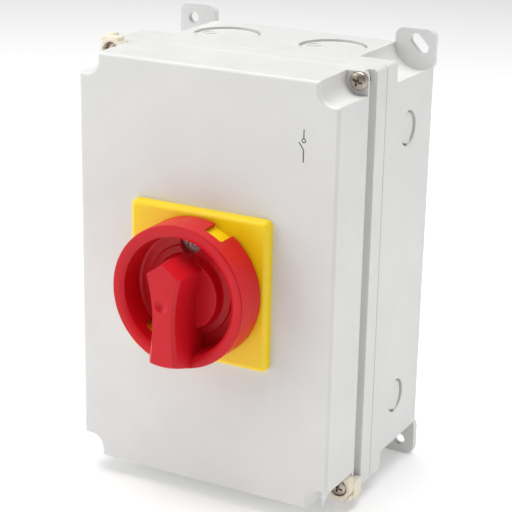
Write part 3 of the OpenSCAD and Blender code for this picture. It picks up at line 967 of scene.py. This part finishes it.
def screw_retainer(size, rise):
    """A retainer for the upper right corner, which is then mirrored to where it belongs."""
    floor, outer = size.pocket_floor, 92.6 * MM
    top = floor + 5.6 * MM
    sleeve = add_pin(size.screw_x, size.screw_z, 5.4 * MM, floor, top, 64)
    round_edges(sleeve, 0.5 * MM, 3, at_front(top))
    wall = add_block(
        (size.screw_x - 3.4 * MM, floor, size.screw_z + 3.6 * MM),
        (size.screw_x + 5.1 * MM, top - 0.4 * MM, outer))
    soften(wall, 0.5 * MM)
    weld(sleeve, wall)
    combine(sleeve, corner_block(size, floor - MM, top + MM, -0.1 * MM), "INTERSECT")
    inner_face, back, front = 58.2 * MM, 58.2 * MM, 65.4 * MM
    plate = add_block(
        (inner_face + 0.6 * MM, back, 84.4 * MM), (SHELL_W + 0.6 * MM, front, outer))
    round_edges(plate, MM, 4, lambda a, b: abs(a.x - b.x) > MM)
    soften(plate, 0.25 * MM)
    weld(sleeve, plate)
    cut(sleeve, add_pin(size.screw_x, size.screw_z, 2.2 * MM, 58 * MM, top + MM, 48))
    cut(sleeve, add_pin(size.screw_x, size.screw_z, 4.0 * MM, floor + rise, top + MM, 64))
    corner = (PANEL_W - size.pocket - MM, floor + rise, SHELL_H - size.pocket - MM)
    cut(sleeve, add_block(corner, (inner_face, top + MM, size.screw_z + 0.6 * MM)))
    return sleeve


class ISOLATOR_OT_screw_retainers(bpy.types.Operator):
    """Build the two nylon retainers, lower right and upper left"""
    bl_idname = "isolator.screw_retainers"
    bl_label = "Screw Retainers"

    def execute(self, context):
        size = context.scene.isolator_enclosure
        pair = []
        for x, z in RETAINED:
            retainer = screw_retainer(size, RETAINED[x, z])
            pair.append(mirrored(retainer, x, z))
            bpy.data.objects.remove(retainer)
        finish_piece(
            join(pair, "nylon_retainers"), "nylon_retainers", FINISHES["cream_nylon"], "lid",
            "cream_nylon", "screw_retainers")
        return {"FINISHED"}


class ISOLATOR_OT_switch_symbol(bpy.types.Operator):
    """Print the general switch symbol on the lid"""
    bl_idname = "isolator.switch_symbol"
    bl_label = "Switch Symbol"

    def execute(self, context):
        x, line = 44.4 * MM, 0.22 * MM
        foot, hinge, contact, tip = 57.5 * MM, 62.4 * MM, 66.1 * MM, 70.6 * MM
        back, front = FRONT_D - MARK_T, FRONT_D + MARK_T
        marks = [
            add_block((x - line, back, contact + 0.9 * MM), (x + line, front, tip)),
            add_block((x - line, back, foot), (x + line, front, hinge + 0.2 * MM)),
        ]
        circle = add_pin(x, contact, 0.95 * MM, back, front, 32)
        marks.append(cut(circle, add_pin(x, contact, 0.6 * MM, back - MM, front + MM, 32)))
        blade = add_block((x - line, back, hinge), (x + line, front, hinge + 3.6 * MM))
        marks.append(turned_about_y(blade, math.radians(-35), (x, hinge)))
        finish_piece(join(marks, "switch_symbol"), "switch_symbol", FINISHES["ink"], "lid",
                     "grey_polycarbonate")
        return {"FINISHED"}


class ISOLATOR_OT_inner_parts(bpy.types.Operator):
    """Give every part inside the box its finish"""
    bl_idname = "isolator.inner_parts"
    bl_label = "Inner Parts"

    def execute(self, context):
        for part in frame["record"]["subparts"]:
            node = frame["nodes"][part["node"]]
            node.data.materials.clear()
            node.data.materials.append(FINISHES[part["material_slot"]])
        return {"FINISHED"}


def add_softbox(name, place, target, size, power):
    clear_selection()
    bpy.ops.object.light_add(type="AREA", location=place)
    light = bpy.context.object
    light.name = name
    light.data.shape = "RECTANGLE"
    light.data.size, light.data.size_y = size
    light.data.energy = power
    aim = Vector(target) - Vector(place)
    light.rotation_euler = aim.to_track_quat("-Z", "Y").to_euler()
    return light


class ISOLATOR_OT_stage(bpy.types.Operator):
    """Set up the floor, the soft lights and the camera"""
    bl_idname = "isolator.stage"
    bl_label = "Stage"

    def execute(self, context):
        stage = context.scene.isolator_stage
        clear_selection()
        ground = CAD_BOX[0].z - 0.2 * MM
        bpy.ops.mesh.primitive_grid_add(
            x_subdivisions=8, y_subdivisions=8, size=12, location=(0, 0, ground))
        floor = named(settle(bpy.context.object), "studio_floor")
        floor_finish = new_finish(
            "Pale floor", (0.9, 0.9, 0.9), 0.9, Emission_Color=(1, 1, 1, 1),
            Emission_Strength=stage.floor_glow)
        vary_colour(floor_finish, noise(floor_finish, 2, 2), 0.995, 1.005)
        floor.data.materials.append(floor_finish)

        world = bpy.data.worlds.new("Studio")
        world.use_nodes = True
        world.node_tree.nodes["Background"].inputs["Color"].default_value = (1, 1, 1, 1)
        world.node_tree.nodes["Background"].inputs["Strength"].default_value = stage.ambient
        context.scene.world = world
        middle = (0, -0.05, 0)
        add_softbox("left_softbox", (-1.3, -0.9, 0.4), middle, (1.2, 1.4), stage.left_light)
        add_softbox("high_softbox", (-0.7, -0.9, 1.2), middle, (1.2, 1.2), stage.high_light)
        add_softbox("top_softbox", (0, 0, 1.6), middle, (1.6, 1.6), stage.top_light)
        add_softbox("right_softbox", (1.5, 0.2, 0.3), middle, (1.2, 1.2), stage.right_light)

        clear_selection()
        bpy.ops.object.camera_add()
        camera = context.object
        camera.name = "camera"
        camera.data.lens = stage.lens
        camera.data.sensor_width = 36
        camera.data.clip_start = 0.01
        turn = (Matrix.Rotation(stage.azimuth, 4, "Z")
                @ Matrix.Rotation(math.pi / 2 - stage.elevation, 4, "X")
                @ Matrix.Rotation(stage.roll, 4, "Z"))
        back = turn.to_3x3() @ Vector((0, 0, 1))
        camera.matrix_world = Matrix.Translation(Vector(stage.target) + back * stage.distance) @ turn
        context.scene.camera = camera
        context.scene.view_settings.view_transform = "Standard"
        return {"FINISHED"}


class ISOLATOR_PT_panel(bpy.types.Panel):
    """Lists the pieces and the sizes behind them"""
    bl_label = "Rotary Isolator"
    bl_idname = "ISOLATOR_PT_panel"
    bl_space_type = "VIEW_3D"
    bl_region_type = "UI"
    bl_category = "Isolator"

    def draw(self, context):
        layout = self.layout
        for operator in OPERATORS:
            layout.operator(operator.bl_idname)
        for attribute, group in GROUPS.items():
            box = layout.box()
            settings = getattr(context.scene, attribute)
            for field in group.__annotations__:
                box.prop(settings, field)


GROUPS = {
    "isolator_enclosure": IsolatorEnclosure,
    "isolator_handle": IsolatorHandle,
    "isolator_finish": IsolatorFinish,
    "isolator_stage": IsolatorStage,
}
OPERATORS = (
    ISOLATOR_OT_stage,
    ISOLATOR_OT_inner_parts,
    ISOLATOR_OT_base_housing,
    ISOLATOR_OT_lid_housing,
    ISOLATOR_OT_front_plate,
    ISOLATOR_OT_indicator,
    ISOLATOR_OT_handle,
    ISOLATOR_OT_lid_screws,
    ISOLATOR_OT_screw_retainers,
    ISOLATOR_OT_switch_symbol,
)


def register():
    for group in GROUPS.values():
        bpy.utils.register_class(group)
    for operator in OPERATORS:
        bpy.utils.register_class(operator)
    bpy.utils.register_class(ISOLATOR_PT_panel)
    for attribute, group in GROUPS.items():
        setattr(bpy.types.Scene, attribute, PointerProperty(type=group))


def unregister():
    for attribute in GROUPS:
        delattr(bpy.types.Scene, attribute)
    bpy.utils.unregister_class(ISOLATOR_PT_panel)
    for operator in reversed(OPERATORS):
        bpy.utils.unregister_class(operator)
    for group in GROUPS.values():
        bpy.utils.unregister_class(group)


def main():
    register()
    FINISHES.update(all_finishes(bpy.context.scene.isolator_finish))
    for operator in OPERATORS:
        group, name = operator.bl_idname.split(".")
        getattr(getattr(bpy.ops, group), name)()


if __name__ == "__main__":
    main()
